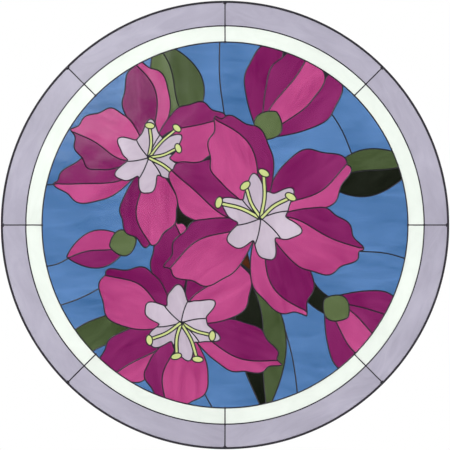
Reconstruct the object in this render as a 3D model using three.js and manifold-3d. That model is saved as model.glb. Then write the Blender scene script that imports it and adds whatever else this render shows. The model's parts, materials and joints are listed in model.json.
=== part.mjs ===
// A round stained glass window, one metre across, made in copper foil. Lilies on a blue ground fill the middle, and two
// rings of plain border glass, each cut into eight, run round it. Solder seams join all the panes into one panel, and
// a U-section lead came closes its edge.
//
// The panel is laid out flat: x to the right, y up, z towards the viewer, and zero in the middle of the glass. At the
// end it is stood upright, facing -Y, with the origin on the back of the rim at its lowest point.

import * as THREE from "three";
import { mergeVertices } from "three/addons/utils/BufferGeometryUtils.js";
import Module from "manifold-3d";

// ---- Sizes, in millimetres -------------------------------------------------------------------------------------

const RIM_RADIUS = 500; // outer edge of the window
const BORDER_RADIUS = 444; // middle of the seam between the two border rings
const PICTURE_RADIUS = 408; // middle of the seam round the picture

const SECTORS = 8; // panes in each border ring
const FACETS = 6; // straight runs in each sector of a circle
const SEGMENTS = SECTORS * FACETS;

const GLASS = 3; // thickness of every pane
const GAP = 0.3; // free space between a pane and the metal that holds it
const SEAM = { width: 2.8, height: 4.6 }; // solder seam between two panes
const RIM = { face: 4.8, wall: 1.2 }; // lead came round the edge
const RIM_HEIGHT = GLASS + 2 * (GAP + RIM.wall);

const LEAST_PANE = 900; // a scrap of a pane below this area, in square millimetres, is filled with solder
const TALL = 20; // height of the prisms that cut the seams and the panes
const STEPS = { petal: 18, heart: 36, leaf: 14, strap: 9, bud: 10 }; // points round each kind of outline

// ---- Colours and finishes --------------------------------------------------------------------------------------

const glass = (color) =>
  new THREE.MeshStandardMaterial({ color, roughness: 0.2, metalness: 0, transparent: true, opacity: 0.9 });

const FINISH = {
  lavender: glass("#b6b3c4"),
  white: glass("#f3faf2"),
  blue: glass("#517aad"),
  pink: glass("#bc4b86"),
  plum: glass("#851e63"),
  lilac: glass("#c9bccb"),
  green: glass("#4c5b3b"),
  olive: glass("#1c200e"),
  brown: glass("#532c19"),
  solder: new THREE.MeshStandardMaterial({ color: "#23202a", roughness: 0.45, metalness: 0.8 }),
  lead: new THREE.MeshStandardMaterial({ color: "#2e2b33", roughness: 0.6, metalness: 0.7 }),
};

// ---- Solids ----------------------------------------------------------------------------------------------------

const wasm = await Module();
wasm.setup();

function solidFrom(geometry) {
  geometry.deleteAttribute("normal");
  geometry.deleteAttribute("uv");
  const merged = mergeVertices(geometry, 1e-3);
  const vertProperties = merged.attributes.position.array;
  const triVerts = new Uint32Array(merged.index.array);
  return new wasm.Manifold(new wasm.Mesh({ numProp: 3, vertProperties, triVerts }));
}

function meshFrom(name, solid, material) {
  const { vertProperties, triVerts } = solid.getMesh();
  const geometry = new THREE.BufferGeometry();
  geometry.setAttribute("position", new THREE.BufferAttribute(vertProperties, 3));
  geometry.setIndex(new THREE.BufferAttribute(triVerts, 1));
  geometry.computeVertexNormals();
  const mesh = new THREE.Mesh(geometry, material);
  mesh.name = name;
  return mesh;
}

// A flat plate with the given outline, a list of [x, y], half in front of the middle of the glass and half behind.
function plate(outline, height) {
  const shape = new THREE.Shape(outline.map(([x, y]) => new THREE.Vector2(x, y)));
  const geometry = new THREE.ExtrudeGeometry(shape, { depth: height, bevelEnabled: false });
  return solidFrom(geometry.translate(0, 0, -height / 2));
}

function polar(radius, angle) {
  return [radius * Math.cos(angle), radius * Math.sin(angle)];
}

// Points along a circle from one angle to another, one at each of its segments.
function arc(radius, from, to, facets = SEGMENTS) {
  return Array.from({ length: facets + 1 }, (_, i) => polar(radius, from + ((to - from) * i) / facets));
}

function disc(radius, height) {
  return plate(arc(radius, 0, 2 * Math.PI).slice(1), height);
}

const byVolume = (a, b) => b.volume() - a.volume();
const largest = (solid) => solid.decompose().sort(byVolume)[0];

// ---- Outlines --------------------------------------------------------------------------------------------------
// Each starts at the origin and points along +x. Lengths are in millimetres and angles in radians.

const rad = THREE.MathUtils.degToRad;
const smooth = (t) => THREE.MathUtils.smoothstep(t, 0, 1);
const vary = (seed, n) => Math.sin(2.7 * n + 1.9 * seed); // a steady spread of values from -1 to 1

// A shape that swells from a point to its full width and closes again. `fullest` is where, as a share of its length,
// and a low `blunt` gives it round ends.
function almond(length, width, steps, fullest, blunt) {
  const skew = Math.log(0.5) / Math.log(fullest);
  return Array.from({ length: steps }, (_, i) => {
    const turn = (2 * Math.PI * i) / steps;
    const along = (1 - Math.cos(turn)) / 2;
    const half = (width / 2) * Math.sin(Math.PI * along ** skew) ** blunt || 0;
    return [length * along, i < steps / 2 ? half : -half];
  });
}

// A petal is an almond whose outer half is ruffled and whose tip is drawn out.
function petal(length, width, { fullest = 0.6, blunt = 0.72, waves = 8, phase = 0 } = {}) {
  return almond(length, width, STEPS.petal, fullest, blunt).map(([x, y], i) => {
    const turn = (2 * Math.PI * i) / STEPS.petal;
    const ruffle = 0.05 * Math.sin(waves * turn + phase) * smooth((x / length - 0.3) / 0.45);
    const tip = 0.05 * Math.exp(-(((turn - Math.PI) / 0.4) ** 2));
    const reach = 1 + ruffle + tip;
    return [length / 2 + (x - length / 2) * reach, y * reach];
  });
}

// The heart of a lily: six lobes round a middle.
function heart(radius, turn, seed) {
  return Array.from({ length: STEPS.heart }, (_, i) => {
    const angle = turn + (2 * Math.PI * i) / STEPS.heart;
    const lobes = 0.8 + 0.2 * Math.cos(6 * (angle - turn)) + 0.045 * Math.cos(13 * angle + seed);
    return polar(radius * lobes, angle);
  });
}

// A long leaf or a stem from one point to another that sways to both sides on its way.
function strap(from, to, width, sway, swings) {
  const [dx, dy] = [to[0] - from[0], to[1] - from[1]];
  const length = Math.hypot(dx, dy);
  const middle = (t) => {
    const aside = sway * Math.sin(2 * Math.PI * swings * t) * Math.sqrt(Math.max(Math.sin(Math.PI * t), 0));
    return [from[0] + dx * t - (dy / length) * aside, from[1] + dy * t + (dx / length) * aside];
  };
  const sides = [[], []];
  for (let i = 0; i <= STEPS.strap; i++) {
    const t = i / STEPS.strap;
    const [x, y] = middle(t);
    const [x0, y0] = middle(Math.max(t - 0.01, 0));
    const [x1, y1] = middle(Math.min(t + 0.01, 1));
    const across = polar(width / 2, Math.atan2(y1 - y0, x1 - x0) + Math.PI / 2);
    sides[0].push([x + across[0], y + across[1]]);
    sides[1].unshift([x - across[0], y - across[1]]);
  }
  return sides.flat();
}

// Bends a shape that lies along +x into an arc that has turned by `angle` at its far end.
function bent(outline, length, angle) {
  if (Math.abs(angle) < 1e-6) return outline;
  const radius = length / angle;
  return outline.map(([x, y]) => [
    (radius - y) * Math.sin(x / radius),
    radius - (radius - y) * Math.cos(x / radius),
  ]);
}

function turned(outline, angle) {
  const [c, s] = polar(1, angle);
  return outline.map(([x, y]) => [x * c - y * s, x * s + y * c]);
}

function moved(outline, [dx, dy]) {
  return outline.map(([x, y]) => [x + dx, y + dy]);
}

// A blossom that leans away is seen a little narrower one way.
function leaning(outline, { by, towards }) {
  const squashed = turned(outline, -towards).map(([x, y]) => [x * by, y]);
  return turned(squashed, towards);
}

// Moves every side of an outline outwards by the given distance, or inwards if it is negative.
function grown(outline, distance) {
  const area = outline.reduce((sum, [x, y], i) => {
    const [nextX, nextY] = outline[(i + 1) % outline.length];
    return sum + x * nextY - nextX * y;
  }, 0);
  const points = area > 0 ? outline : [...outline].reverse();
  const normal = ([x0, y0], [x1, y1]) => {
    const length = Math.hypot(x1 - x0, y1 - y0);
    return [(y1 - y0) / length, (x0 - x1) / length];
  };
  return points.map((point, i) => {
    const before = normal(points.at(i - 1), point);
    const after = normal(point, points[(i + 1) % points.length]);
    const sum = [before[0] + after[0], before[1] + after[1]];
    const spread = Math.max((sum[0] ** 2 + sum[1] ** 2) / 2, 0.5);
    return [point[0] + (distance * sum[0]) / spread, point[1] + (distance * sum[1]) / spread];
  });
}

// ---- The picture -----------------------------------------------------------------------------------------------
// Panes are added front first: each one covers those that follow it.

const picture = [];

function add(name, finish, outline) {
  picture.push({ name, finish, outline });
}

function lily(name, { at, size, turn, lean, seed }) {
  const lay = (outline) => moved(leaning(outline, lean), at);
  add(`${name}_heart`, "lilac", lay(heart(0.42 * size, turn, seed)));
  for (const i of [0, 2, 4, 1, 3, 5]) {
    const front = i % 2 === 0;
    const length = size * (front ? 1 : 1.05) * (1 + 0.06 * vary(seed, i + 1.1));
    const width = size * (front ? 0.66 : 0.58) * (1 + 0.06 * vary(seed, i + 2.3));
    const angle = turn + (Math.PI * i) / 3 + 0.07 * vary(seed, i + 0.3);
    const bend = 0.5 * vary(seed, 1.7 * i + 0.6);
    const ruffles = { waves: 7 + ((2 * i + seed) % 4), phase: seed + 1.7 * i };
    const outline = turned(bent(petal(length, width, ruffles), length, bend), angle);
    add(`${name}_petal_${i + 1}`, front ? "pink" : "plum", lay(outline));
  }
}

// A lily that is still opening, seen from its side: three petals fan out of a calyx.
function openingLily(name, { at, length, width, angle }) {
  const lay = (outline, turn) => moved(turned(outline, turn), at);
  add(`${name}_calyx`, "green", lay(almond(0.3 * length, 0.34 * width, STEPS.bud, 0.5, 0.7), angle));
  [0, 0.5, -0.5].forEach((spread, i) => {
    const reach = length * [1, 0.94, 0.96][i];
    const shape = petal(reach, 0.62 * width, { fullest: 0.66, blunt: 0.65, waves: 8, phase: 1.3 * i });
    add(`${name}_petal_${i + 1}`, i === 0 ? "pink" : "plum", lay(bent(shape, reach, -0.9 * spread), angle + spread));
  });
}

function bud(name, { at, length, width, angle }) {
  const calyx = moved(almond(0.42 * length, 0.7 * width, STEPS.bud, 0.5, 0.7), [-0.1 * length, 0]);
  add(`${name}_calyx`, "green", moved(turned(calyx, angle), at));
  add(`${name}_petals`, "pink", moved(turned(almond(length, width, STEPS.bud + 2, 0.5, 0.8), angle), at));
}

function leaf(name, { at, length, width, angle, bend }) {
  const outline = bent(almond(length, width, STEPS.leaf, 0.42, 0.95), length, bend);
  add(name, "green", moved(turned(outline, angle), at));
}

lily("lily_right", { at: [80, 15], size: 232, turn: rad(100), lean: { by: 0.95, towards: rad(20) }, seed: 3 });
lily("lily_left", { at: [-170, 150], size: 205, turn: rad(30), lean: { by: 0.9, towards: rad(-40) }, seed: 11 });
lily("lily_low", { at: [-98, -218], size: 215, turn: rad(-84), lean: { by: 0.92, towards: rad(70) }, seed: 5 });
openingLily("opening_top", { at: [78, 192], length: 235, width: 190, angle: rad(59) });
openingLily("opening_right", { at: [222, -165], length: 220, width: 180, angle: rad(-38) });
bud("bud", { at: [-212, -36], length: 145, width: 84, angle: rad(194) });
leaf("leaf_right", { at: [230, 90], length: 215, width: 104, angle: rad(20), bend: -0.25 });
leaf("leaf_low", { at: [52, -118], length: 310, width: 112, angle: rad(-74), bend: -0.32 });
leaf("leaf_top", { at: [-82, 225], length: 205, width: 118, angle: rad(103), bend: 0.3 });
add("long_leaf_left", "green", strap([-370, -345], [-150, -120], 62, 26, 1));
add("branch", "olive", strap([262, -200], [110, -50], 38, 16, 0.8));

// ---- Cutting the panes and the seams ---------------------------------------------------------------------------

// Splits the picture into panes, with the opening in the seams for each. A pane is what shows of a shape behind the
// ones in front of it, and the ground is what none of them covers.
function cutPicture() {
  const half = SEAM.width / 2;
  const edge = { opening: half, pane: half + GAP };
  const inside = {
    opening: disc(PICTURE_RADIUS - edge.opening, TALL),
    pane: disc(PICTURE_RADIUS - edge.pane, TALL),
  };
  const left = { ...inside };
  const cuts = [];
  const keep = (name, finish, opening, pane) => {
    const parts = opening.decompose().filter((part) => part.volume() > LEAST_PANE * TALL);
    parts.sort(byVolume).forEach((part, i) => {
      const suffix = parts.length > 1 ? `_${"abcdefghij"[i]}` : "";
      cuts.push({ name: name + suffix, finish, opening: part, pane: largest(pane.intersect(part)) });
    });
  };
  for (const { name, finish, outline } of picture) {
    const shape = (kind) => left[kind].intersect(plate(grown(outline, -edge[kind]), TALL));
    keep(name, finish, shape("opening"), shape("pane"));
    for (const kind of ["opening", "pane"]) {
      left[kind] = left[kind].subtract(plate(grown(outline, edge[kind]), TALL));
    }
  }
  keep("ground", "blue", left.opening, left.pane);
  return cuts;
}

// The pane or its opening in one sector of a ring, between two radii, with its sides `aside` from the sector's lines.
function sector(number, inner, outer, aside) {
  const from = (2 * Math.PI * number) / SECTORS;
  const to = from + (2 * Math.PI) / SECTORS;
  const edgeAt = (radius) => Math.asin(aside / radius);
  const run = (radius) => {
    const points = arc(radius, from, to, FACETS);
    points[0] = polar(radius, from + edgeAt(radius));
    points[FACETS] = polar(radius, to - edgeAt(radius));
    return points;
  };
  return plate([...run(outer), ...run(inner).reverse()], TALL);
}

function cutBorder() {
  const half = SEAM.width / 2;
  const cuts = [];
  for (let i = 0; i < SECTORS; i++) {
    cuts.push({
      name: `outer_border_${i + 1}`,
      finish: "lavender",
      opening: sector(i, BORDER_RADIUS + half, RIM_RADIUS, half),
      pane: sector(i, BORDER_RADIUS + half + GAP, RIM_RADIUS - RIM.wall - GAP, half + GAP),
    });
    cuts.push({
      name: `inner_border_${i + 1}`,
      finish: "white",
      opening: sector(i, PICTURE_RADIUS + half, BORDER_RADIUS - half, half),
      pane: sector(i, PICTURE_RADIUS + half + GAP, BORDER_RADIUS - half - GAP, half + GAP),
    });
  }
  return cuts;
}

function rimCame() {
  const { face, wall } = RIM;
  const channel = RIM_HEIGHT / 2 - wall;
  const upper = [
    [RIM_RADIUS, RIM_HEIGHT / 2],
    [RIM_RADIUS - face, RIM_HEIGHT / 2],
    [RIM_RADIUS - face, channel],
    [RIM_RADIUS - wall, channel],
  ];
  const lower = upper.map(([radius, z]) => [radius, -z]).reverse();
  const section = [...upper, ...lower, upper[0]].map(([radius, z]) => new THREE.Vector2(radius, z));
  return solidFrom(new THREE.LatheGeometry(section, SEGMENTS).rotateX(Math.PI / 2));
}

// ---- The window ------------------------------------------------------------------------------------------------

const cuts = [...cutPicture(), ...cutBorder()];
const openings = wasm.Manifold.union(cuts.map(({ opening }) => opening));
const seams = disc(RIM_RADIUS - RIM.face - GAP, SEAM.height).subtract(openings);
const slab = disc(RIM_RADIUS, GLASS);

const window = new THREE.Group();
window.add(meshFrom("rim_came", rimCame(), FINISH.lead));
window.add(meshFrom("solder_seams", seams, FINISH.solder));
for (const { name, finish, pane } of cuts) window.add(meshFrom(name, pane.intersect(slab), FINISH[finish]));

window.rotation.x = Math.PI / 2;
window.position.set(0, -RIM_HEIGHT / 2, RIM_RADIUS - RIM.face / 2);

export default window;
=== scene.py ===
"""A round stained glass window, one metre across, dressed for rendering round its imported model.

The window is worked out flat, in millimetres: x to the right, y up, z towards the viewer, and zero in the
middle of the glass. Every pane starts as a flat solid with a drawn outline, and is cut by those in front.
The solder that joins the panes is what is left of a round slab once every opening has been cut from it.
"""

import json
import math
from collections import namedtuple
from contextlib import contextmanager
from string import ascii_lowercase

import bpy
import numpy as np
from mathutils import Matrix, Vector

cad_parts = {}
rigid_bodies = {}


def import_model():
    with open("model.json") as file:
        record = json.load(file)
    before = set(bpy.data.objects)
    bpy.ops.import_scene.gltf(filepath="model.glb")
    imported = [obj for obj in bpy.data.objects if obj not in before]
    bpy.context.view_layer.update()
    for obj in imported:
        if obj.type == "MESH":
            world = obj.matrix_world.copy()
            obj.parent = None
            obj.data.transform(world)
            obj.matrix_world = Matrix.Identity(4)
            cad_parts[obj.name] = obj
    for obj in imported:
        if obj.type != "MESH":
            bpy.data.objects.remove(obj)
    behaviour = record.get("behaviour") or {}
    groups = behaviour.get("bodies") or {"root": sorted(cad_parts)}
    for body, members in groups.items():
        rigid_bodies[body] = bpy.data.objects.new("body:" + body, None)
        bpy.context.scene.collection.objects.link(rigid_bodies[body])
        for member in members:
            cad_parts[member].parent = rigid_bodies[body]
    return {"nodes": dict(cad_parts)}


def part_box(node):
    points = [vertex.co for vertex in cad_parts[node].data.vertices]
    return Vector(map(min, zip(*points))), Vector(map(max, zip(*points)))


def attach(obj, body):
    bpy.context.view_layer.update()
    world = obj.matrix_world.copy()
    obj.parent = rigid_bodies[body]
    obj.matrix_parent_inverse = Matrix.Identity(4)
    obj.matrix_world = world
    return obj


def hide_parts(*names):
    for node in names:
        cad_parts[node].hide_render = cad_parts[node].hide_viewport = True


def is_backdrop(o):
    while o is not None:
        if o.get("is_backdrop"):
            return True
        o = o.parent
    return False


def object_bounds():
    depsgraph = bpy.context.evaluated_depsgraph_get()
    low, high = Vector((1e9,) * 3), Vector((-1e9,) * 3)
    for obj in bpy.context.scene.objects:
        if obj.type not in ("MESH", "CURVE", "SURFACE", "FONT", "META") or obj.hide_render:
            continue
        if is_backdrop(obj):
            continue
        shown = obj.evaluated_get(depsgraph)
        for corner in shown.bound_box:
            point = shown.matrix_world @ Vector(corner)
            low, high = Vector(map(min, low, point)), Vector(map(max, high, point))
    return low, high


bl_info = {
    "name": "Stained Glass Window",
    "version": (1, 0, 0),
    "blender": (4, 5, 0),
    "location": "View3D > Sidebar > Window",
    "description": "Builds a round stained glass window: cut panes, solder seams, lead rim and a studio",
    "category": "Object",
}

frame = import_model()
CAD_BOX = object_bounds()

MM = 0.001
BODY = "root"
RIM_LOW, RIM_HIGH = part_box("rim_came")
MIDDLE = (RIM_LOW + RIM_HIGH) / 2  # middle of the window, in the middle of the glass
RIM_RADIUS = (RIM_HIGH.z - RIM_LOW.z) / 2 / MM
RIM_DEPTH = (RIM_HIGH.y - RIM_LOW.y) / MM
SECTORS = 8  # panes in each border ring
SAME = 0.01  # millimetres: points nearer than this are one

# Points of each kind of outline, arc or line.
POINTS = {"petal": 96, "heart": 216, "leaf": 72, "bud": 48, "dot": 32, "strap": 28, "arc": 42, "circle": 336}


# ---- Settings ----


def measure(name, description, millimetres):
    return bpy.props.FloatProperty(
        name=name, description=description, default=millimetres * MM, min=0, unit="LENGTH", precision=5
    )


def colour(name, description, code):
    return bpy.props.FloatVectorProperty(
        name=name, description=description, default=linear(code), min=0, max=1, size=3, subtype="COLOR"
    )


def linear(code):
    """An sRGB hex colour as linear red, green and blue."""
    parts = [int(code[i : i + 2], 16) / 255 for i in (1, 3, 5)]
    return tuple(v / 12.92 if v <= 0.04045 else ((v + 0.055) / 1.055) ** 2.4 for v in parts)


class WindowSizes(bpy.types.PropertyGroup):
    border_radius: measure("Border radius", "Middle of the seam between the two border rings", 444)
    picture_radius: measure("Picture radius", "Middle of the seam round the picture", 408)
    glass: measure("Glass", "Thickness of every pane", 3)
    seam: measure("Seam", "Width of a solder seam", 2.8)
    bead: measure("Bead", "How far a seam stands proud of the glass", 0.9)
    tuck: measure("Tuck", "How far a pane reaches under its seam", 0.4)
    rim_face: measure("Rim face", "Width of the lead round the rim, seen from the front", 4.8)
    rim_wall: measure("Rim wall", "Thickness of that lead", 1.2)


class WindowColours(bpy.types.PropertyGroup):
    lavender: colour("Lavender", "Outer border", "#b7b3c4")
    white: colour("White", "Inner border", "#edf4ed")
    blue: colour("Blue", "Ground of the picture", "#487bb4")
    pink: colour("Pink", "Light side of the petals", "#be3d86")
    plum: colour("Plum", "Shaded side of the petals", "#870462")
    lilac: colour("Lilac", "Hearts of the lilies", "#c9bbcb")
    green: colour("Green", "Leaves", "#46582f")
    moss: colour("Moss", "Light side of the leaves", "#596c3c")
    olive: colour("Olive", "Branch and deep shade", "#0e1504")
    brown: colour("Brown", "Twigs", "#532404")
    yellow: colour("Yellow", "Stamens", "#d2dd90")
    solder: colour("Solder", "Patinated solder", "#23202a")
    lead: colour("Lead", "Lead of the rim", "#2e2b33")


# ---- Outlines ----
# Each is an array of points in millimetres, [x, y], that lies round the origin or runs from it along +x.

# The edge of a petal: shares of its distance from the middle by which it is ruffled and its tip drawn out.
RUFFLE, TIP = 0.05, 0.05
RUFFLE_START, RUFFLE_FULL = 0.3, 0.75  # shares of the petal's length
TIP_SPREAD = 0.4  # radians

PETALS = 6  # petals of a lily, and lobes of its heart
LOBE_DEPTH, LOBE_WAVER, LOBE_WAVES = 0.2, 0.045, 13  # shares of the heart's radius, and waves round it

# A vein: where it starts and ends as shares of the length, and how far it sways and how often.
VEIN_START, VEIN_END = -0.02, 1.12
VEIN_SWAY, VEIN_SWINGS = 0.06, 1.1


def vary(seed, n):
    """A steady spread of values from -1 to 1."""
    return math.sin(2.7 * n + 1.9 * seed)


def smooth(t):
    """Rises gently from 0 to 1 as t does."""
    t = np.clip(t, 0, 1)
    return t * t * (3 - 2 * t)


def once_round(steps):
    """Even angles round a circle, from 0."""
    return np.arange(steps) * 2 * math.pi / steps


def polar(radius, angle):
    return np.stack([radius * np.cos(angle), radius * np.sin(angle)], -1)


def circle(radius):
    return polar(radius, once_round(POINTS["circle"]))


def almond(length, width, steps, fullest, blunt):
    """Swells from a point to its full width, which is `fullest` of the way along, and closes again. A low
    `blunt` gives it round ends."""
    skew = math.log(0.5) / math.log(fullest)
    turn = once_round(steps)
    along = (1 - np.cos(turn)) / 2
    half = width / 2 * np.maximum(np.sin(math.pi * along**skew), 0) ** blunt
    return np.stack([length * along, np.where(np.sin(turn) >= 0, half, -half)], -1)


def petal(length, width, fullest=0.6, blunt=0.72, waves=8, phase=0.0):
    """An almond whose outer half is ruffled and whose tip is drawn out."""
    shape = almond(length, width, POINTS["petal"], fullest, blunt)
    turn = once_round(len(shape))
    ruffled = smooth((shape[:, 0] / length - RUFFLE_START) / (RUFFLE_FULL - RUFFLE_START))
    ruffle = RUFFLE * np.sin(waves * turn + phase) * ruffled
    tip = TIP * np.exp(-(((turn - math.pi) / TIP_SPREAD) ** 2))
    middle = np.array([length / 2, 0])
    return middle + (shape - middle) * (1 + ruffle + tip)[:, None]


def heart(radius, turn, seed):
    """The heart of a lily: a lobe for each petal, round a middle."""
    angle = turn + once_round(POINTS["heart"])
    lobes = 1 - LOBE_DEPTH + LOBE_DEPTH * np.cos(PETALS * (angle - turn))
    return polar(radius * (lobes + LOBE_WAVER * np.cos(LOBE_WAVES * angle + seed)), angle)


def swaying(start, end, sway, swings):
    """Points along a line that sways to both sides on its way."""
    start, end = np.array(start, float), np.array(end, float)
    t = np.linspace(0, 1, POINTS["strap"])[:, None]
    aside = np.array([start[1] - end[1], end[0] - start[0]]) / np.linalg.norm(end - start)
    wave = sway * np.sin(2 * math.pi * swings * t) * np.sqrt(np.sin(math.pi * t).clip(0))
    return start + t * (end - start) + wave * aside


def ribbon(line, width):
    """The outline of a strip of even width along a line."""
    along = np.gradient(line, axis=0)
    along /= np.linalg.norm(along, axis=1)[:, None]
    across = np.stack([-along[:, 1], along[:, 0]], -1) * width / 2
    return np.concatenate([line - across, (line + across)[::-1]])


def bent(shape, length, angle):
    """Bends a shape along +x into an arc that has turned by `angle` at its far end."""
    if abs(angle) < 1e-6:
        return shape
    radius = length / angle
    turn, left = shape[:, 0] / radius, radius - shape[:, 1]
    return np.stack([left * np.sin(turn), radius - left * np.cos(turn)], -1)


def turned(shape, angle):
    c, s = math.cos(angle), math.sin(angle)
    return shape @ np.array([[c, s], [-s, c]])


def leaning(shape, by, towards):
    """A blossom that leans away is seen a little narrower one way."""
    return turned(turned(shape, -towards) * (by, 1), towards)


def grown(shape, distance):
    """Moves every side of an outline outwards, or inwards by a negative distance."""
    after = np.roll(shape, -1, 0)
    if np.sum(shape[:, 0] * after[:, 1] - after[:, 0] * shape[:, 1]) < 0:
        shape = shape[::-1]
        after = np.roll(shape, -1, 0)
    side = after - shape
    side /= np.linalg.norm(side, axis=1)[:, None]
    normal = np.stack([side[:, 1], -side[:, 0]], -1)
    both = normal + np.roll(normal, 1, 0)
    spread = np.maximum(np.sum(both**2, 1) / 2, 0.5)[:, None]  # at least 0.5, so that spikes stay short
    return shape + distance * both / spread


def vein(length, width, side):
    """The line that parts the two colours of a petal or a leaf. It bows to one side by that share of the
    width, and runs out at both ends."""
    s = np.linspace(VEIN_START, VEIN_END, POINTS["strap"])
    aside = side * np.sin(math.pi * np.clip(s, 0, 1)) + VEIN_SWAY * np.sin(2 * VEIN_SWINGS * math.pi * s)
    return np.stack([length * s, width * aside], -1)


# ---- The picture ----
# Shapes are added front first: each one covers those that follow it. A shape has an outline, its glass, the
# direction of the grain, lines that cut it into panes, and a rule that chooses other glass for some of them.

Shape = namedtuple("Shape", "name outline glass grain lines choose", defaults=((), None))
picture = []

STAMENS = (-65, -15, 16, 61)  # degrees from a lily's turn; its lobes are cut at 30 and 90 to both sides
HEART = 0.42  # the heart's radius, as a share of the lily's size
REACH, REACH_VARIES = 0.9, 0.12  # of a filament, as shares of the heart's radius
FILAMENT_WIDTH, FILAMENT_SWAY = 0.034, 0.022  # shares of the lily's size
ANTHER, ANTHER_OUT = (0.034, 0.058), 0.02  # likewise: half its size along and across, and how far out it sits
ANTHER_TURN = 0.5  # radians, at most
LOBE_CUT, LOBE_CUT_BOW = 1.15, 0.07  # length and bow of a cut between lobes, as shares of that radius

# A lily's petals: length and width of the three in front and of those behind, as shares of its size, by how
# much these vary, how far a petal turns aside and bends, in radians, and how far its vein bows.
FRONT_PETAL, BACK_PETAL = (1, 0.66), (1.05, 0.58)
PETAL_VARIES, PETAL_TURN, PETAL_BEND, PETAL_VEIN = 0.06, 0.07, 0.5, 0.18

# An opening lily's petals, front first: angle from its middle, share of its length, bow of the vein, and the
# glass on both sides of it.
FAN = ((0.0, 1.0, 0.1, "pink", "plum"), (0.5, 0.94, -0.1, "plum", "pink"), (-0.5, 0.96, 0.1, "plum", "pink"))
FAN_WIDTH, FAN_CURL = 0.62, 0.9  # a petal's width as a share of the whole, and how far it curls back in

GROUND_SWAY = 6  # millimetres
# Where the ground is cut, from the tip of a petal or leaf out to the edge of the picture.
GROUND_CUTS = (
    ((-340, -70), (-420, -95)),
    ((-370, 92), (-425, 100)),
    ((-250, -125), (-400, -190)),
    ((295, -58), (420, -80)),
    ((0, 232), (-12, 425)),
    ((222, 272), (288, 146)),
    ((125, -200), (165, -400)),
    ((-22, -420), (-70, -300)),
)


def add(*shape):
    picture.append(Shape(*shape))


def either_side(line, far, glass, other):
    """A rule for a shape that a line cuts in two: `other` on the side of the point `far`, or else `glass`."""

    def side_of(point):
        nearest = int(np.argmin(np.linalg.norm(line - point, axis=1)))
        nearest = min(max(nearest, 1), len(line) - 2)
        run = line[nearest + 1] - line[nearest - 1]
        return np.sign(run[0] * (point[1] - line[nearest][1]) - run[1] * (point[0] - line[nearest][0]))

    far_side = side_of(far)
    return lambda point: other if side_of(point) == far_side else glass


def laying(at, angle, length, bend=0.0):
    """What bends a shape of this length, turns it and moves it to its place."""
    return lambda shape: turned(bent(shape, length, bend), angle) + at


def two_toned(name, shape, lay, size, side, glass, other, grain):
    """Adds a petal or leaf of this length and width, laid in its place, with other glass past its vein."""
    long, wide = size
    line = lay(vein(long, wide, side))
    far = lay(np.array([[long / 2, math.copysign(2 * wide, side)]]))[0]
    add(name, lay(shape), glass, grain, [line], either_side(line, far, glass, other))


def lily(name, at, size, turn, lean, seed):
    """An open lily, seen from the front."""
    radius = HEART * size

    def lay(shape, angle=0.0):
        return leaning(turned(shape, angle), *lean) + at

    for i, spread in enumerate(STAMENS):
        angle = turn + math.radians(spread)
        reach = radius * (REACH + REACH_VARIES * vary(seed, i))
        dot = once_round(POINTS["dot"])
        anther = np.stack([ANTHER[0] * size * np.cos(dot), ANTHER[1] * size * np.sin(dot)], -1)
        anther = turned(anther, ANTHER_TURN * vary(seed, i + 0.7)) + (reach + ANTHER_OUT * size, 0)
        line = swaying((0, 0), (reach, 0), FILAMENT_SWAY * size * (-1) ** i, 0.5)
        filament = ribbon(line, FILAMENT_WIDTH * size)
        add(f"{name}_anther_{i + 1}", lay(anther, angle), "yellow", angle)
        add(f"{name}_filament_{i + 1}", lay(filament, angle), "yellow", angle)
    out = np.linspace(0, LOBE_CUT * radius, POINTS["strap"])
    between = np.stack([out, LOBE_CUT_BOW * radius * np.sin(math.pi * out / radius)], -1)
    cuts = [lay(between, turn + 2 * math.pi * (i + 0.5) / PETALS) for i in range(PETALS)]
    add(f"{name}_heart", lay(heart(radius, turn, seed)), "lilac", turn, cuts)
    for i in (*range(0, PETALS, 2), *range(1, PETALS, 2)):
        front = i % 2 == 0
        long, wide = FRONT_PETAL if front else BACK_PETAL
        long = size * long * (1 + PETAL_VARIES * vary(seed, i + 1.1))
        wide = size * wide * (1 + PETAL_VARIES * vary(seed, i + 2.3))
        angle = turn + 2 * math.pi * i / PETALS + PETAL_TURN * vary(seed, i + 0.3)
        bend = PETAL_BEND * vary(seed, 1.7 * i + 0.6)
        side = math.copysign(PETAL_VEIN, vary(seed, 3.1 * i + 0.2))
        glass, other = ("pink", "plum") if front else ("plum", "pink")

        def lay_petal(shape):
            return lay(bent(shape, long, bend), angle)

        shape = petal(long, wide, waves=7 + (2 * i + seed) % 4, phase=seed + 1.7 * i)
        two_toned(f"{name}_petal_{i + 1}", shape, lay_petal, (long, wide), side, glass, other, angle)


def add_calyx(name, at, long, wide, angle, back=0.0):
    """The green cup that holds a blossom, set back by some of its stem."""
    shape = almond(long, wide, POINTS["bud"], fullest=0.5, blunt=0.7) - (back, 0)
    add(f"{name}_calyx", turned(shape, angle) + at, "moss", angle)


def opening_lily(name, at, long, wide, angle):
    """A lily that is still opening, seen from its side: three petals fan out of a calyx."""
    add_calyx(name, at, 0.3 * long, 0.34 * wide, angle)
    for i, (spread, share, side, glass, other) in enumerate(FAN):
        size = (share * long, FAN_WIDTH * wide)
        grain = angle + spread
        lay = laying(at, grain, size[0], -FAN_CURL * spread)
        shape = petal(*size, fullest=0.66, blunt=0.65, waves=8, phase=1.3 * i)
        two_toned(f"{name}_petal_{i + 1}", shape, lay, size, side, glass, other, grain)


def bud(name, at, long, wide, angle):
    """A closed bud, set in its calyx."""
    add_calyx(name, at, 0.42 * long, 0.7 * wide, angle, back=0.1 * long)
    shape = almond(long, wide, POINTS["bud"], fullest=0.5, blunt=0.8)
    lay = laying(at, angle, long)
    two_toned(f"{name}_petals", shape, lay, (long, wide), 0.05, "pink", "plum", angle)


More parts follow.
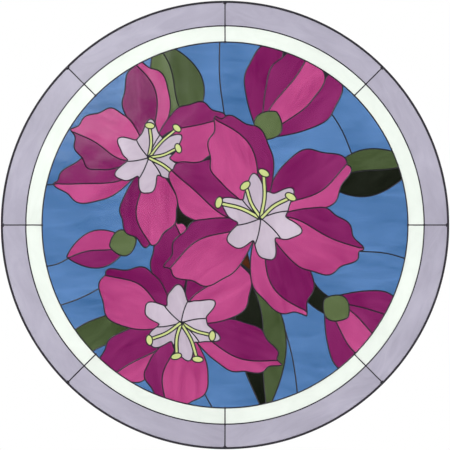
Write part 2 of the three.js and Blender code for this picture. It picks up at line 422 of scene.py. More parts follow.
def leaf(name, at, long, wide, angle, bend, glass="green", other="moss"):
    """A leaf, parted down its middle."""
    shape = almond(long, wide, POINTS["leaf"], fullest=0.42, blunt=0.95)
    two_toned(name, shape, laying(at, angle, long, bend), (long, wide), 0.04, glass, other, angle)


def stem(name, start, end, width, sway, swings, glass):
    """A branch or a long leaf of even width, with its grain along it."""
    run = np.array(end) - np.array(start)
    grain = math.atan2(run[1], run[0])
    add(name, ribbon(swaying(start, end, sway, swings), width), glass, grain)


def compose_picture():
    """Three lilies, two that are opening, a bud, leaves and a branch, on a ground."""
    picture.clear()
    rad = math.radians
    lily("lily_right", (80, 15), 232, rad(100), (0.95, rad(20)), 3)
    lily("lily_left", (-170, 150), 205, rad(30), (0.9, rad(-40)), 11)
    lily("lily_low", (-98, -218), 215, rad(-84), (0.92, rad(70)), 5)
    opening_lily("opening_top", (78, 192), 235, 190, rad(59))
    opening_lily("opening_right", (222, -165), 220, 180, rad(-38))
    bud("bud", (-212, -36), 145, 84, rad(194))
    leaf("leaf_right", (230, 90), 215, 104, rad(20), -0.25, "olive", "green")
    leaf("leaf_low", (52, -118), 310, 112, rad(-74), -0.32, "olive", "green")
    leaf("leaf_top", (-82, 225), 205, 118, rad(103), 0.3)
    stem("long_leaf_left", (-370, -345), (-150, -120), 62, 26, 1, "green")
    stem("branch", (262, -200), (110, -50), 38, 16, 0.8, "olive")
    leaf("leaf_behind", (-130, 80), 270, 130, rad(-45), 0.0, "olive", "brown")
    cuts = [swaying(*ends, GROUND_SWAY, 0.5) for ends in GROUND_CUTS]
    add("ground", circle(RIM_RADIUS), "blue", 0.0, cuts)


# ---- Modelling ----


def only(piece):
    """Leaves one piece selected and active."""
    bpy.ops.object.select_all(action="DESELECT")
    piece.select_set(True)
    bpy.context.view_layer.objects.active = piece


@contextmanager
def editing(piece):
    """Edit mode, with all of a piece selected."""
    only(piece)
    bpy.ops.object.mode_set(mode="EDIT")
    bpy.ops.mesh.select_all(action="SELECT")
    yield
    bpy.ops.object.mode_set(mode="OBJECT")


def copied(piece, name):
    """A copy of a piece with a mesh of its own."""
    twin = piece.copy()
    twin.data = piece.data.copy()
    twin.name = twin.data.name = name
    bpy.context.scene.collection.objects.link(twin)
    return twin


def discard(pieces):
    meshes = [piece.data for piece in pieces]
    bpy.data.batch_remove(pieces)
    bpy.data.batch_remove(meshes)


def on_window(flat):
    """Points in the window's flat millimetres, [x, y, z], as places in the scene."""
    flat = np.asarray(flat, float) * MM
    return np.stack([flat[:, 0], -flat[:, 2], flat[:, 1]], -1) + np.array(MIDDLE)


def off_window(piece):
    """A piece's points in the window's flat millimetres."""
    points = np.empty(len(piece.data.vertices) * 3, np.float32)
    piece.data.vertices.foreach_get("co", points)
    points = (points.reshape(-1, 3) - np.array(MIDDLE)) / MM
    return np.stack([points[:, 0], points[:, 2], -points[:, 1]], -1)


def place(piece, flat):
    """Moves a piece's points to these flat millimetres."""
    piece.data.vertices.foreach_set("co", on_window(flat).astype(np.float32).ravel())
    piece.data.update()


def face_out(piece):
    """Turns all faces outwards."""
    with editing(piece):
        bpy.ops.mesh.normals_make_consistent(inside=False)


def weld(piece):
    """Merges points that lie on top of each other, and splits faces into even triangles."""
    with editing(piece):
        bpy.ops.mesh.remove_doubles(threshold=SAME * MM)
        bpy.ops.mesh.quads_convert_to_tris(quad_method="BEAUTY", ngon_method="BEAUTY")


stacks = {}


def stack(points, levels):
    """A prism with this many points and levels, kept to be copied, and each vertex's level and corner."""
    if (points, levels) not in stacks:
        bpy.ops.object.select_all(action="DESELECT")
        bpy.ops.mesh.primitive_circle_add(vertices=points, radius=1, fill_type="NGON")
        piece = bpy.context.object
        with editing(piece):
            for _ in range(levels - 1):
                bpy.ops.mesh.extrude_region_move(TRANSFORM_OT_translate={"value": (0, 0, 1)})
        face_out(piece)
        places = np.array([vertex.co for vertex in piece.data.vertices])
        level = np.round(places[:, 2]).astype(int)
        turn = np.arctan2(places[:, 1], places[:, 0]) / (2 * math.pi)
        stacks[points, levels] = (piece, level, np.round((turn - turn[0]) * points).astype(int) % points)
    return stacks[points, levels]


def clear_stacks():
    discard([piece for piece, _, _ in stacks.values()])
    stacks.clear()


def stacked(name, rings):
    """A solid through a stack of rings, each an outline and a z, from the back of the window forwards."""
    outlines = np.array([outline for outline, _ in rings])
    heights = np.array([height for _, height in rings])
    model, level, corner = stack(outlines.shape[1], len(rings))
    piece = copied(model, name)
    place(piece, np.concatenate([outlines[level, corner], heights[level, None]], 1))
    return piece


def combine(piece, tools, operation):
    """Joins a piece with its tools or cuts it by them. The tools stay, in the collections they were in."""
    shelf = bpy.data.collections.new("tools")
    for tool in tools:
        shelf.objects.link(tool)
    bpy.context.scene.collection.children.link(shelf)
    only(piece)
    boolean = piece.modifiers.new("combine", "BOOLEAN")
    boolean.operation = operation
    boolean.solver = "MANIFOLD"
    boolean.operand_type = "COLLECTION"
    boolean.collection = shelf
    bpy.ops.object.modifier_apply(modifier=boolean.name)
    bpy.data.collections.remove(shelf)


def loose_parts(piece):
    """Splits a piece into its separate bodies."""
    if not piece.data.polygons:
        discard([piece])
        return []
    with editing(piece):
        bpy.ops.mesh.separate(type="LOOSE")
    return list(bpy.context.selected_objects)


# ---- Cutting ----
# Openings are cut in the solder, and panes to fill them. Both stay off an outline by part of a seam's width,
# which is given for each level, a z and a distance. An opening widens from the glass outwards, so that a
# rounded bead is left between two of them.

BEAD_ANGLES = (0, 35, 60, 78)  # degrees round a bead, from the glass to its crest
CLEAR = 1  # millimetres by which a solid runs past what it cuts
HALO = 3  # millimetres: no solid reaches further out of its outline
LEAST_PANE = 40  # square millimetres: what is smaller is filled with solder
LEAST_WIDTH = 2.8  # millimetres, likewise
LEAST_OPENING = 60  # cubic millimetres, likewise


def opening_levels(sizes):
    """From past the crest of the beads behind the glass to past that of the beads in front."""
    half, glass, bead = sizes.seam / MM / 2, sizes.glass / MM / 2, sizes.bead / MM
    rises = np.radians(BEAD_ANGLES)
    front = [(glass + bead * math.sin(rise), half * math.cos(rise)) for rise in rises]
    front.append((front[-1][0] + CLEAR, front[-1][1]))
    return [(-height, off) for height, off in reversed(front)] + front


def pane_levels(sizes):
    """Both faces of the glass, tucked under the seam."""
    off = (sizes.seam / 2 - sizes.tuck) / MM
    return [(-sizes.glass / MM / 2, off), (sizes.glass / MM / 2, off)]


def taller(levels):
    """The same levels, run out at both ends for a solid that cuts right through another."""
    (low, first), *between, (high, last) = levels
    return [(low - CLEAR, first), *between, (high + CLEAR, last)]


def inside(outline, levels):
    """The solid that a shape leaves for its opening or pane."""
    return stacked("inside", [(grown(outline, -off), height) for height, off in levels])


def outside(outline, levels):
    """The solid by which a shape cuts those behind it."""
    return stacked("outside", [(grown(outline, off), height) for height, off in taller(levels)])


def along(line, levels):
    """The solid by which a line cuts a shape."""
    return stacked("along", [(ribbon(line, 2 * off), height) for height, off in taller(levels)])


def box_of(points):
    return np.min(points, 0), np.max(points, 0)


def overlap(one, other):
    return bool(np.all(one[0] < other[1]) and np.all(other[0] < one[1]))


def divide(shapes, edge, levels):
    """Cuts each shape's solid by its lines and by the shapes in front, and gives the shape with the bodies
    that are left of it."""
    rim = inside(edge, taller(levels))
    front = []
    for shape in shapes:
        outline = shape.outline
        body = inside(outline, levels)
        if np.linalg.norm(outline, axis=1).max() > np.linalg.norm(edge, axis=1).min():
            combine(body, [rim], "INTERSECT")
        reach = box_of(grown(outline, CLEAR))
        lines = [along(line, levels) for line in shape.lines]
        tools = lines + [solid for box, solid in front if overlap(box, reach)]
        if tools:
            combine(body, tools, "DIFFERENCE")
            discard(lines)
        front.append((box_of(grown(outline, HALO)), outside(outline, levels)))
        yield shape, loose_parts(body)
    discard([rim] + [solid for _, solid in front])


def edge_of(piece, sizes):
    """The flat points of a piece at the level of the glass."""
    points = off_window(piece)
    return points[np.abs(points[:, 2]) < sizes.glass / MM / 2 + SAME, :2]


def node_box(node):
    low, high = (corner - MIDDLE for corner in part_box(node))
    return np.array([low.x, low.z]) / MM, np.array([high.x, high.z]) / MM


def share_within(box, other):
    """The share of a box that lies in another."""
    shared = np.clip(np.minimum(box[1], other[1]) - np.maximum(box[0], other[0]), 0, None)
    return float(np.prod(shared) / np.prod(box[1] - box[0]))


def apart(points, others):
    """How far most of the points lie from the nearest of the others."""
    gaps = np.linalg.norm(points[:, None] - others[None], axis=2)
    return float(np.median(gaps.min(1)))


def volume(piece):
    """In cubic millimetres."""
    faces = piece.data.polygons
    return sum(face.area * face.normal.dot(face.center - MIDDLE) for face in faces) / 3 / MM**3


def worth_cutting(pane, sizes):
    """Whether a pane is large and wide enough for a maker to cut it."""
    glass = sizes.glass / MM
    area = volume(pane) / glass
    round_it = sum(face.area for face in pane.data.polygons if abs(face.normal.y) < 0.5) / MM**2 / glass
    return area > LEAST_PANE and 2 * area > LEAST_WIDTH * round_it


def openings():
    """The collection of all openings, until the solder is cut by them."""
    name = "openings"
    if name not in bpy.data.collections:
        bpy.context.scene.collection.children.link(bpy.data.collections.new(name))
    return bpy.data.collections[name]


def keep_opening(opening):
    bpy.context.scene.collection.objects.unlink(opening)
    openings().objects.link(opening)


def match(bodies, panes, sizes):
    """Keeps every opening that holds a pane worth cutting, with all the glass in it, and drops the rest."""
    edges = {piece: edge_of(piece, sizes) for piece in bodies + panes}
    held = {body: [] for body in bodies if len(edges[body]) and volume(body) > LEAST_OPENING}
    for pane in panes:
        gaps = {body: apart(edges[pane], edges[body]) for body in held}
        nearest = min(gaps, key=gaps.get, default=None)
        if nearest and gaps[nearest] < sizes.seam / MM / 2:
            held[nearest].append(pane)
    fitting = []
    for body, filling in held.items():
        if any(worth_cutting(pane, sizes) for pane in filling):
            keep_opening(body)
            fitting += filling
    discard([body for body in bodies if body.users_collection[0] != openings()])
    discard([pane for pane in panes if pane not in fitting])
    return sorted(fitting, key=lambda pane: tuple(edges[pane].min(0)))


def glass_of(shape, pane):
    """The glass of a pane: what the rule of its shape, if it has one, asks for at most of its points."""
    if shape.choose is None:
        return shape.glass
    asked = [shape.choose(point) for point in off_window(pane)[:, :2]]
    return max(sorted(set(asked)), key=asked.count)


# ---- Laying the glass ----

SLOTS = {"moss": "green_glass"}  # moss is a second green; every other glass has its own slot
GRAIN_STEP = (0.31, 0.47)  # metres in the pattern of the glass from one pane to the next


def lay_grain(pane, angle, start):
    """Maps a pane in metres, with u along the grain of its glass and its own start in the pattern."""
    flat = turned(off_window(pane)[:, :2], -angle) * MM + start
    corners = np.empty(len(pane.data.loops), np.int32)
    pane.data.loops.foreach_get("vertex_index", corners)
    for layer in list(pane.data.uv_layers):
        pane.data.uv_layers.remove(layer)
    layer = pane.data.uv_layers.new(name="grain")
    layer.data.foreach_set("uv", flat[corners].astype(np.float32).ravel())


laid = []


def finish_pane(pane, name, glass, grain, nodes):
    """Names a pane, gives it its glass and says what it rides on and stands for."""
    pane.name = pane.data.name = name
    lay_grain(pane, grain, [step * len(laid) for step in GRAIN_STEP])
    pane.data.materials.clear()
    pane.data.materials.append(glass_material(glass))
    only(pane)
    bpy.ops.object.shade_flat()
    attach(pane, BODY)
    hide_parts(*nodes)
    SLOTS.get(glass, f"{glass}_glass")
    laid.append(pane)


def nodes_for(shape, pane, sizes):
    """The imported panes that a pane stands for."""
    if shape.name in frame["nodes"]:
        return [shape.name]
    if shape.name != "ground":
        return []
    box = box_of(edge_of(pane, sizes))
    grounds = [node for node in frame["nodes"] if node.startswith("ground_")]
    shares = {node: share_within(node_box(node), box) for node in grounds}
    nearest = max(shares, key=shares.get)
    return [nearest] if shares[nearest] > 0 else []


def lay_picture(sizes):
    """Cuts the openings and the panes of the picture, and keeps those that fit each other."""
    compose_picture()
    edge = circle(sizes.picture_radius / MM)
    cuts = divide(picture, edge, opening_levels(sizes))
    glass = divide(picture, edge, pane_levels(sizes))
    for (shape, bodies), (_, panes) in zip(cuts, glass, strict=True):
        fitting = match(bodies, panes, sizes)
        for pane, letter in zip(fitting, ascii_lowercase):
            name = f"{shape.name}_glass_{letter}"
            finish_pane(pane, name, glass_of(shape, pane), shape.grain, nodes_for(shape, pane, sizes))


def sector(number, inner, outer):
    """The outline of a border pane, between the middles of its seams."""
    angle = (number + np.arange(POINTS["arc"] + 1) / POINTS["arc"]) * 2 * math.pi / SECTORS
    return np.concatenate([polar(outer, angle), polar(inner, angle[::-1])])


def lay_border(sizes):
    """Cuts the two border rings, whose grain runs round the window."""
    within, between = sizes.picture_radius / MM, sizes.border_radius / MM
    channel = RIM_RADIUS - sizes.rim_wall / MM
    rings = (("outer_border", "lavender", between, channel), ("inner_border", "white", within, between))
    for ring, glass, inner, outer in rings:
        for i in range(SECTORS):
            outline = sector(i, inner, outer)
            keep_opening(inside(outline, opening_levels(sizes)))
            pane = inside(outline, pane_levels(sizes))
            grain = 2 * math.pi * (i + 0.5) / SECTORS + math.pi / 2
            node = f"{ring}_{i + 1}"
            finish_pane(pane, f"{node}_glass", glass, grain, [node])


# ---- Solder and lead ----
# All sizes here are in millimetres.

WAVES = ((0.11, 0.07), (-0.05, 0.13), (0.21, -0.16), (0.31, 0.27))  # radians a millimetre, in x and in y
UNEVEN = 0.14  # share of a bead's height by which it rises and falls
SKIN = 0.05  # by which the solder in the rim is thinner than the glass on each face
UNDER_RIM = 0.2  # how far the beads run under the lead
CHANNEL_GAP = 0.4  # from the solder in the rim out to the lead

DROP_ANGLES = (-30, 0, 20, 38, 54, 68, 80)  # degrees round a drop's side, from its root to its crest
DROP_WAVES = ((2, 0.06), (3, 0.04))  # how often a drop's outline waves in and out, and by which share
SEAM_DROP, SEAM_DROP_RISE = (2.6, 2.6), 0.3  # reach outwards and sideways, and rise over the beads
RIM_DROP, RIM_DROP_RISE = (3.6, 4.4), 0.5  # likewise, over the lead
RIM_DROP_IN = 0.6  # from the inner edge of the lead out to the middle of a drop

RIM_CORNER, CORNER_ANGLES = 0.9, range(0, 91, 15)  # of the rim's outer edges; angles are in degrees
FOLD_ANGLES = range(90, 271, 30)  # round the inner edge of a leaf
CLOSED = 0.25  # by which each leaf of the rim is pressed down on the glass
SMOOTH_BELOW = math.radians(50)  # edges sharper than this stay sharp on metal


def uneven(flat, seed):
    """A smooth, steady wander from -1 to 1 over the window, as hot solder leaves it."""
    x, y = flat[:, 0], flat[:, 1]
    return sum(np.sin(a * x + b * y + seed * (i + 1)) for i, (a, b) in enumerate(WAVES)) / len(WAVES)


def drop(angle, radius, size, root, top, seed):
    """A drop of solder set where seams meet. Its size is its reach outwards and sideways."""
    rises = np.radians(DROP_ANGLES)
    turn = once_round(POINTS["dot"])
    wavy = [share * np.sin(times * turn + (i + 1) * seed) for i, (times, share) in enumerate(DROP_WAVES)]
    outline = polar(1 + wavy[0] + wavy[1], turn) * size
    height = (top - root) / (1 - math.sin(rises[0]))
    waist = top - height
    rings = []
    for rise in rises:
        spot = turned(outline * math.cos(rise) + (radius, 0), angle)
        rings.append((spot, waist + height * math.sin(rise)))
    return stacked("drop", rings if top > root else rings[::-1])


def drops(sizes):
    """The drops at both ends of every radial seam of the border, on both faces of the window."""
    glass, crest = sizes.glass / MM / 2, (sizes.glass / 2 + sizes.bead) / MM
    leaf = RIM_DEPTH / 2 - CLOSED
    rows = (
        (sizes.picture_radius / MM, SEAM_DROP, glass, crest + SEAM_DROP_RISE),
        (sizes.border_radius / MM, SEAM_DROP, glass, crest + SEAM_DROP_RISE),
        (RIM_RADIUS - sizes.rim_face / MM + RIM_DROP_IN, RIM_DROP, glass, leaf + RIM_DROP_RISE),
    )
    made = []
    for i in range(SECTORS):
        angle = 2 * math.pi * i / SECTORS
        for radius, size, root, top in rows:
            made.append(drop(angle, radius, size, root, top, i))
            made.append(drop(angle, radius, size, -root, -top, i + 0.5 * SECTORS))
    return made


def cast_seams(sizes):
    """The solder: a slab over the glass, less every opening, with a drop at each joint of the border."""
    glass = sizes.glass / MM / 2
    crest = opening_levels(sizes)[-2][0]
    lip = RIM_RADIUS - sizes.rim_face / MM + UNDER_RIM
    channel = RIM_RADIUS - sizes.rim_wall / MM - CHANNEL_GAP
    profile = ((lip, crest), (lip, glass - SKIN), (channel, glass - SKIN))
    rings = [(circle(radius), -height) for radius, height in profile]
    rings += [(circle(radius), height) for radius, height in reversed(profile)]
    seams = stacked("seams", rings)
    holes = list(openings().objects)
    combine(seams, holes, "DIFFERENCE")
    discard(holes)
    bpy.data.collections.remove(openings())
    set_drops = drops(sizes)
    combine(seams, set_drops, "UNION")
    discard(set_drops)
    flat = off_window(seams)
    proud = np.clip(np.abs(flat[:, 2]) - glass, 0, None)
    flat[:, 2] += np.sign(flat[:, 2]) * proud * UNEVEN * uneven(flat, 2.0)
    place(seams, flat)
    weld(seams)
    return seams


def rim_section(sizes):
    """The U section of the lead, as radius and z: round outside, with its two leaves closed on the glass."""
    wall, depth = sizes.rim_wall / MM, RIM_DEPTH / 2
    lip = wall / 2
    outer = polar(RIM_CORNER, np.radians(CORNER_ANGLES)) + (RIM_RADIUS - RIM_CORNER, depth - RIM_CORNER)
    fold = polar(lip, np.radians(FOLD_ANGLES))
    fold += (RIM_RADIUS - sizes.rim_face / MM + lip, depth - lip - CLOSED)
    front = np.concatenate([outer, fold, [(RIM_RADIUS - wall, depth - wall)]])
    return np.concatenate([front, front[::-1] * (1, -1)])


def bend_rim(sizes):
    """The lead came round the window: its section, spun round the middle."""
    section = rim_section(sizes)
    bpy.ops.object.select_all(action="DESELECT")
    bpy.ops.mesh.primitive_circle_add(vertices=len(section), radius=1, fill_type="NOTHING")
    rim = bpy.context.object
    place(rim, np.stack([section[:, 0], 0 * section[:, 0], section[:, 1]], -1))
    bpy.ops.object.transform_apply(location=True, rotation=True, scale=True)
    with editing(rim):
        bpy.ops.mesh.spin(steps=POINTS["circle"], angle=2 * math.pi, center=MIDDLE, axis=(0, 1, 0))
    weld(rim)
    face_out(rim)
    return rim


def finish_metal(piece, name, material, node):
    """Names a piece of metal, gives it its finish and says what it rides on and stands for."""
    piece.name = piece.data.name = name
    piece.data.materials.clear()
    piece.data.materials.append(material)
    only(piece)
    bpy.ops.object.shade_smooth_by_angle(angle=SMOOTH_BELOW)
    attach(piece, BODY)
    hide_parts(node)


# ---- Materials ----

MIX_FACTOR, MIX_FROM, MIX_TO, MIX_RESULT = 0, 6, 7, 2  # sockets of a colour Mix node


def add_node(owner, kind, inputs=None, **settings):
    """Adds a node with its own settings, whose inputs are values or the sockets that feed them, and gives its
    outputs."""
    made = owner.node_tree.nodes.new(f"ShaderNode{kind}")
    for name, value in settings.items():
        setattr(made, name, value)
    for name, value in (inputs or {}).items():
        if isinstance(value, bpy.types.NodeSocket):
            owner.node_tree.links.new(value, made.inputs[name])
        else:
            made.inputs[name].default_value = value
    return made.outputs


def new_material(name):
    material = bpy.data.materials.new(name)
    material.use_nodes = True
    material.node_tree.nodes.clear()
    return material


def ended(material, finish):
    """Ends a material in a shader with this finish."""
    shader = add_node(material, "BsdfPrincipled", finish)["BSDF"]
    add_node(material, "OutputMaterial", {"Surface": shader})
    return material


def patches(place_on, width, detail):
    """What a noise needs for patches of this width, in metres."""
    return {"Vector": place_on, "Scale": 1 / (2 * width), "Detail": detail}


def tinted(code, light, milk=0.0):
    """A colour made lighter or darker, with a share of white milked into it."""
    return tuple(min(1, part * light * (1 - milk) + milk) for part in code) + (1,)


# How each glass is made: the share of light that it lets through, how light its deepest streaks are, how much
# white is milked into its palest ones, and how much longer a streak is than it is wide.
GLASSES = {
    "lavender": (0.4, 0.9, 0.06, 3),
    "white": (0.3, 0.96, 0.1, 2),
    "blue": (0.7, 0.8, 0.06, 4),
    "pink": (0.65, 0.8, 0.05, 4),
    "plum": (0.7, 0.75, 0.03, 4),
    "lilac": (0.4, 0.9, 0.1, 3),
    "green": (0.7, 0.75, 0.03, 4),
    "moss": (0.65, 0.8, 0.04, 4),
    "olive": (0.7, 0.7, 0.01, 3),
    "brown": (0.7, 0.7, 0.01, 4),
    "yellow": (0.4, 0.9, 0.06, 3),
}
STREAK = 14 * MM  # width of a streak in the glass
CLOUD = 84 * MM  # width of a lighter or darker part of it
MARBLING = 0.35  # how far the two together swing
RIPPLE, RIPPLE_HEIGHT = 22 * MM, 0.8 * MM  # from one ripple of the rolled surface to the next
DIMPLE, DIMPLE_HEIGHT = 5 * MM, 0.08 * MM  # finer unevenness, on top of the ripples
GLOSSY, SILKY = 0.08, 0.16  # roughness


def glass_material(glass):
    """Rolled art glass. It was poured streaky and rolled flat while hot, so the eye sees soft wisps of paler
    and deeper colour along its grain, light glowing through it, and a gentle ripple in what it mirrors."""
    name = f"rolled_{glass}_glass"
    if name in bpy.data.materials:
        return bpy.data.materials[name]
    through, deep, milk, longer = GLASSES[glass]
    code = getattr(bpy.context.scene.window_colours, glass)
    material = new_material(name)
    place_on = add_node(material, "UVMap", uv_map="grain")["UV"]
    drawn = add_node(material, "Mapping", {"Vector": place_on, "Scale": (1 / longer, 1, 1)})["Vector"]
    torn = {"Roughness": 0.58, "Distortion": 1.2}
    wisps = add_node(material, "TexNoise", patches(drawn, STREAK, 5.0) | torn)["Fac"]
    clouds = add_node(material, "TexNoise", patches(place_on, CLOUD, 1.0))["Fac"]
    both = add_node(material, "Math", {0: wisps, 1: clouds}, operation="ADD")[0]
    spread = {"Value": both, "From Min": 1 - MARBLING, "From Max": 1 + MARBLING}
    blend = add_node(material, "MapRange", spread)["Result"]
    tones = {MIX_FACTOR: blend, MIX_FROM: tinted(code, deep), MIX_TO: tinted(code, 2 - deep, milk)}
    tone = add_node(material, "Mix", tones, data_type="RGBA")[MIX_RESULT]
    ripple = add_node(material, "TexNoise", patches(place_on, RIPPLE, 0.0))["Fac"]
    dimple = add_node(material, "TexNoise", patches(place_on, DIMPLE, 1.0))["Fac"]
    rough = add_node(material, "MapRange", {"Value": dimple, "To Min": GLOSSY, "To Max": SILKY})["Result"]
    waves = add_node(material, "Bump", {"Height": ripple, "Strength": 1.0, "Distance": RIPPLE_HEIGHT})
    on_waves = {"Height": dimple, "Normal": waves["Normal"], "Strength": 1.0, "Distance": DIMPLE_HEIGHT}
    skin = add_node(material, "Bump", on_waves)
    finish = {
        "Base Color": tone,
        "Roughness": rough,
        "Normal": skin["Normal"],
        "IOR": 1.5,
        "Specular IOR Level": 0.25,
        "Transmission Weight": through,
    }
    return ended(material, finish)


PATINA_DARK, PATINA_BRIGHT = 0.7, 1.35  # shares of the metal's colour
DULL = 0.1  # how far its roughness swings
PIT_DEPTH, PIT_STRENGTH, WAX_ROUGHNESS = 0.1 * MM, 0.4, 0.25


def metal_material(name, code, wander, grit, rough, metallic, wax):
    """Blackened metal under wax, with clouds in its patina as wide as `wander` and pits as wide as `grit`."""
    material = new_material(name)
    place_on = add_node(material, "TexCoord")["Object"]
    cloud = add_node(material, "TexNoise", patches(place_on, wander, 4.0))["Fac"]
    tones = {MIX_FACTOR: cloud, MIX_FROM: tinted(code, PATINA_DARK), MIX_TO: tinted(code, PATINA_BRIGHT)}
    tone = add_node(material, "Mix", tones, data_type="RGBA")[MIX_RESULT]
    dulled = {"Value": cloud, "To Min": rough - DULL, "To Max": rough + DULL}
    dull = add_node(material, "MapRange", dulled)["Result"]
    pits = add_node(material, "TexNoise", patches(place_on, grit, 3.0))["Fac"]
    bump = add_node(material, "Bump", {"Height": pits, "Strength": PIT_STRENGTH, "Distance": PIT_DEPTH})
    finish = {
        "Base Color": tone,
        "Roughness": dull,
        "Normal": bump["Normal"],
        "Metallic": metallic,
        "Coat Weight": wax,
        "Coat Roughness": WAX_ROUGHNESS,
    }
    return ended(material, finish)


def solder_material(code):
    """Tin and lead solder, run on by iron, blackened with patina and waxed: nearly black but unevenly so, and
    with a glint of wax along its beads."""
    finish = {"wander": 9 * MM, "grit": 0.8 * MM, "rough": 0.38, "metallic": 0.8, "wax": 0.6}
    return metal_material("patinated_solder", code, **finish)


def lead_material(code):
    """Milled lead came, blackened too: duller and softer than the solder, with a mottled grey bloom."""
    finish = {"wander": 18 * MM, "grit": 0.5 * MM, "rough": 0.5, "metallic": 0.7, "wax": 0.25}
    return metal_material("milled_lead_came", code, **finish)


# ---- Studio ----

FILL = 0.997  # share of the frame's width that the window takes
LENS, SENSOR = 200, 36  # millimetres
FLOOR_RADIUS, FLOOR_DROP = 1.8, 0.25  # metres; it drops below the lowest point of the window
FLOOR_DARK, FLOOR_PALE = "#e4e3e0", "#edecea"
BLOTCH = 500 / 3 * MM  # width of a faint blotch in the floor's paint

# Brightness of the surround as it is seen, also through the glass, as it lights matt surfaces, and as it is
# mirrored. The last two are dimmer, so that the glass keeps its depth.
SEEN, SCATTERED, MIRRORED = 1.0, 0.34, 0.1

# Soft boxes: where each stands from the middle of the window and its width, in metres, and its power in
# watts. The key and the fill light the front, the rim light the back, and the upper panes mirror the gloss.
LIGHTS = {
    "key": ((-1.6, -2.4, 1.4), 1.4, 74),
    "fill": ((1.9, -2.2, -0.1), 1.8, 36),
    "rim": ((0.9, 2.4, 1.4), 2.6, 95),
    "gloss": ((-0.62, -5.0, 0.62), 0.6, 2.6),
}


def set_light(name, away, width, power):
    """Sets a square soft box, turned to the window. It isn't seen, not through the glass either."""
    away = Vector(away)
    turn = away.to_track_quat("Z", "Y").to_euler()
    bpy.ops.object.light_add(type="AREA", location=MIDDLE + away, rotation=turn)
    light = bpy.context.object
    light.name = name
    light.data.size = width
    light.data.energy = power
    light.visible_camera = light.visible_transmission = False


def floor_material():
    """Matt painted board: pale, with a faint cloudiness and no shine."""
    material = new_material("painted_board")
    place_on = add_node(material, "TexCoord")["Object"]
    cloud = add_node(material, "TexNoise", patches(place_on, BLOTCH, 2.0))["Fac"]
    tones = {MIX_FACTOR: cloud, MIX_FROM: linear(FLOOR_DARK) + (1,), MIX_TO: linear(FLOOR_PALE) + (1,)}
    tone = add_node(material, "Mix", tones, data_type="RGBA")[MIX_RESULT]
    return ended(material, {"Base Color": tone, "Roughness": 0.9})


def lay_floor():
    bpy.ops.object.select_all(action="DESELECT")
    bpy.ops.mesh.primitive_circle_add(vertices=96, radius=FLOOR_RADIUS, fill_type="NGON")
    floor = bpy.context.object
    floor.name = floor.data.name = "floor"
    floor.location = (MIDDLE.x, MIDDLE.y, CAD_BOX[0][2] - FLOOR_DROP)
    bpy.ops.object.transform_apply(location=True, rotation=True, scale=True)
    floor.data.materials.append(floor_material())
    floor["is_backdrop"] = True


def light_world():
    """An even white surround, against which the window is seen."""
    world = bpy.data.worlds.new("white_surround")
    world.use_nodes = True
    world.node_tree.nodes.clear()
    ray = add_node(world, "LightPath")
    either = {0: ray["Is Camera Ray"], 1: ray["Is Transmission Ray"]}
    seen = add_node(world, "Math", either, operation="MAXIMUM")[0]
    unseen = {"Value": ray["Is Glossy Ray"], "To Min": SCATTERED, "To Max": MIRRORED}
    dim = add_node(world, "MapRange", unseen)["Result"]
    strength = add_node(world, "MapRange", {"Value": seen, "To Min": dim, "To Max": SEEN})["Result"]
    surround = add_node(world, "Background", {"Color": (1, 1, 1, 1), "Strength": strength})[0]
    add_node(world, "OutputWorld", {"Surface": surround})
    bpy.context.scene.world = world
    bpy.context.scene.view_settings.view_transform = "Standard"


def set_camera():
    """Looks straight at the middle of the window from far off."""
    away = (RIM_RADIUS * MM / FILL) / (SENSOR / 2 / LENS)
    at = (MIDDLE.x, RIM_LOW.y - away, MIDDLE.z)
    bpy.ops.object.camera_add(location=at, rotation=(math.pi / 2, 0, 0))
    camera = bpy.context.object
    camera.data.lens = LENS
    camera.data.sensor_width = SENSOR
    bpy.context.scene.camera = camera


# ---- Operators ----


class PicturePanes(bpy.types.Operator):
    """Cut the panes of the picture, and the openings that they fill"""

    bl_idname = "stained_glass.picture_panes"
    bl_label = "Picture Panes"

    def execute(self, context):
        lay_picture(context.scene.window_sizes)
        return {"FINISHED"}


class BorderPanes(bpy.types.Operator):
    """Cut the panes of the two border rings, and the openings that they fill"""

    bl_idname = "stained_glass.border_panes"
    bl_label = "Border Panes"

    def execute(self, context):
        lay_border(context.scene.window_sizes)
        return {"FINISHED"}


class SolderSeams(bpy.types.Operator):
    """Cast the solder that joins all the panes"""

    bl_idname = "stained_glass.solder_seams"
    bl_label = "Solder Seams"

    def execute(self, context):
        if not openings().objects:
            raise RuntimeError("the panes come first: there are no openings to cut")
        seams = cast_seams(context.scene.window_sizes)
        solder = solder_material(context.scene.window_colours.solder)
        finish_metal(seams, "solder_beads", solder, "solder_seams")
        return {"FINISHED"}


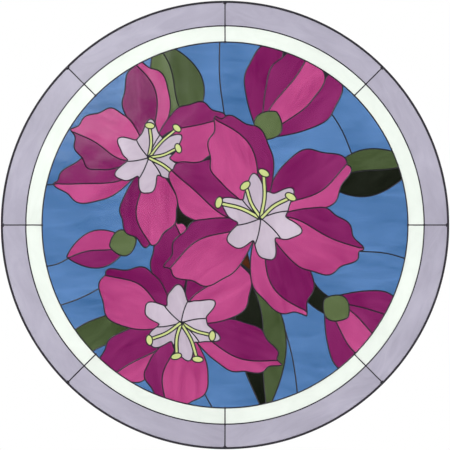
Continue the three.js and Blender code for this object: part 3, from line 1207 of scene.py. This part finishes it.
class RimCame(bpy.types.Operator):
    """Bend the lead round the window"""

    bl_idname = "stained_glass.rim_came"
    bl_label = "Rim Came"

    def execute(self, context):
        rim = bend_rim(context.scene.window_sizes)
        lead = lead_material(context.scene.window_colours.lead)
        finish_metal(rim, "rim_lead", lead, "rim_came")
        return {"FINISHED"}


class Studio(bpy.types.Operator):
    """Set up the floor, the lights and the camera"""

    bl_idname = "stained_glass.studio"
    bl_label = "Studio"

    def execute(self, context):
        lay_floor()
        light_world()
        for name, light in LIGHTS.items():
            set_light(name, *light)
        set_camera()
        return {"FINISHED"}


STEPS = (PicturePanes, BorderPanes, SolderSeams, RimCame, Studio)


class WindowPanel(bpy.types.Panel):
    """The steps and settings of the window"""

    bl_idname = "STAINED_GLASS_PT_window"
    bl_label = "Stained Glass Window"
    bl_space_type = "VIEW_3D"
    bl_region_type = "UI"
    bl_category = "Window"

    def draw(self, context):
        for step in STEPS:
            self.layout.operator(step.bl_idname)
        for settings in (context.scene.window_sizes, context.scene.window_colours):
            box = self.layout.box()
            for name in type(settings).__annotations__:
                box.prop(settings, name)


CLASSES = (WindowSizes, WindowColours, *STEPS, WindowPanel)


def register():
    for cls in CLASSES:
        bpy.utils.register_class(cls)
    bpy.types.Scene.window_sizes = bpy.props.PointerProperty(type=WindowSizes)
    bpy.types.Scene.window_colours = bpy.props.PointerProperty(type=WindowColours)


def unregister():
    del bpy.types.Scene.window_colours
    del bpy.types.Scene.window_sizes
    for cls in reversed(CLASSES):
        bpy.utils.unregister_class(cls)


def main():
    register()
    bpy.ops.stained_glass.picture_panes()
    bpy.ops.stained_glass.border_panes()
    bpy.ops.stained_glass.solder_seams()
    bpy.ops.stained_glass.rim_came()
    bpy.ops.stained_glass.studio()
    clear_stacks()
    bare = [name for name, node in frame["nodes"].items() if not node.hide_render]
    if bare:
        raise RuntimeError(f"no piece stands for {bare}")
    boxes = {"cad": CAD_BOX, "visual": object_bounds()}
    {name: [list(map(float, corner)) for corner in box] for name, box in boxes.items()}


if __name__ == "__main__":
    main()
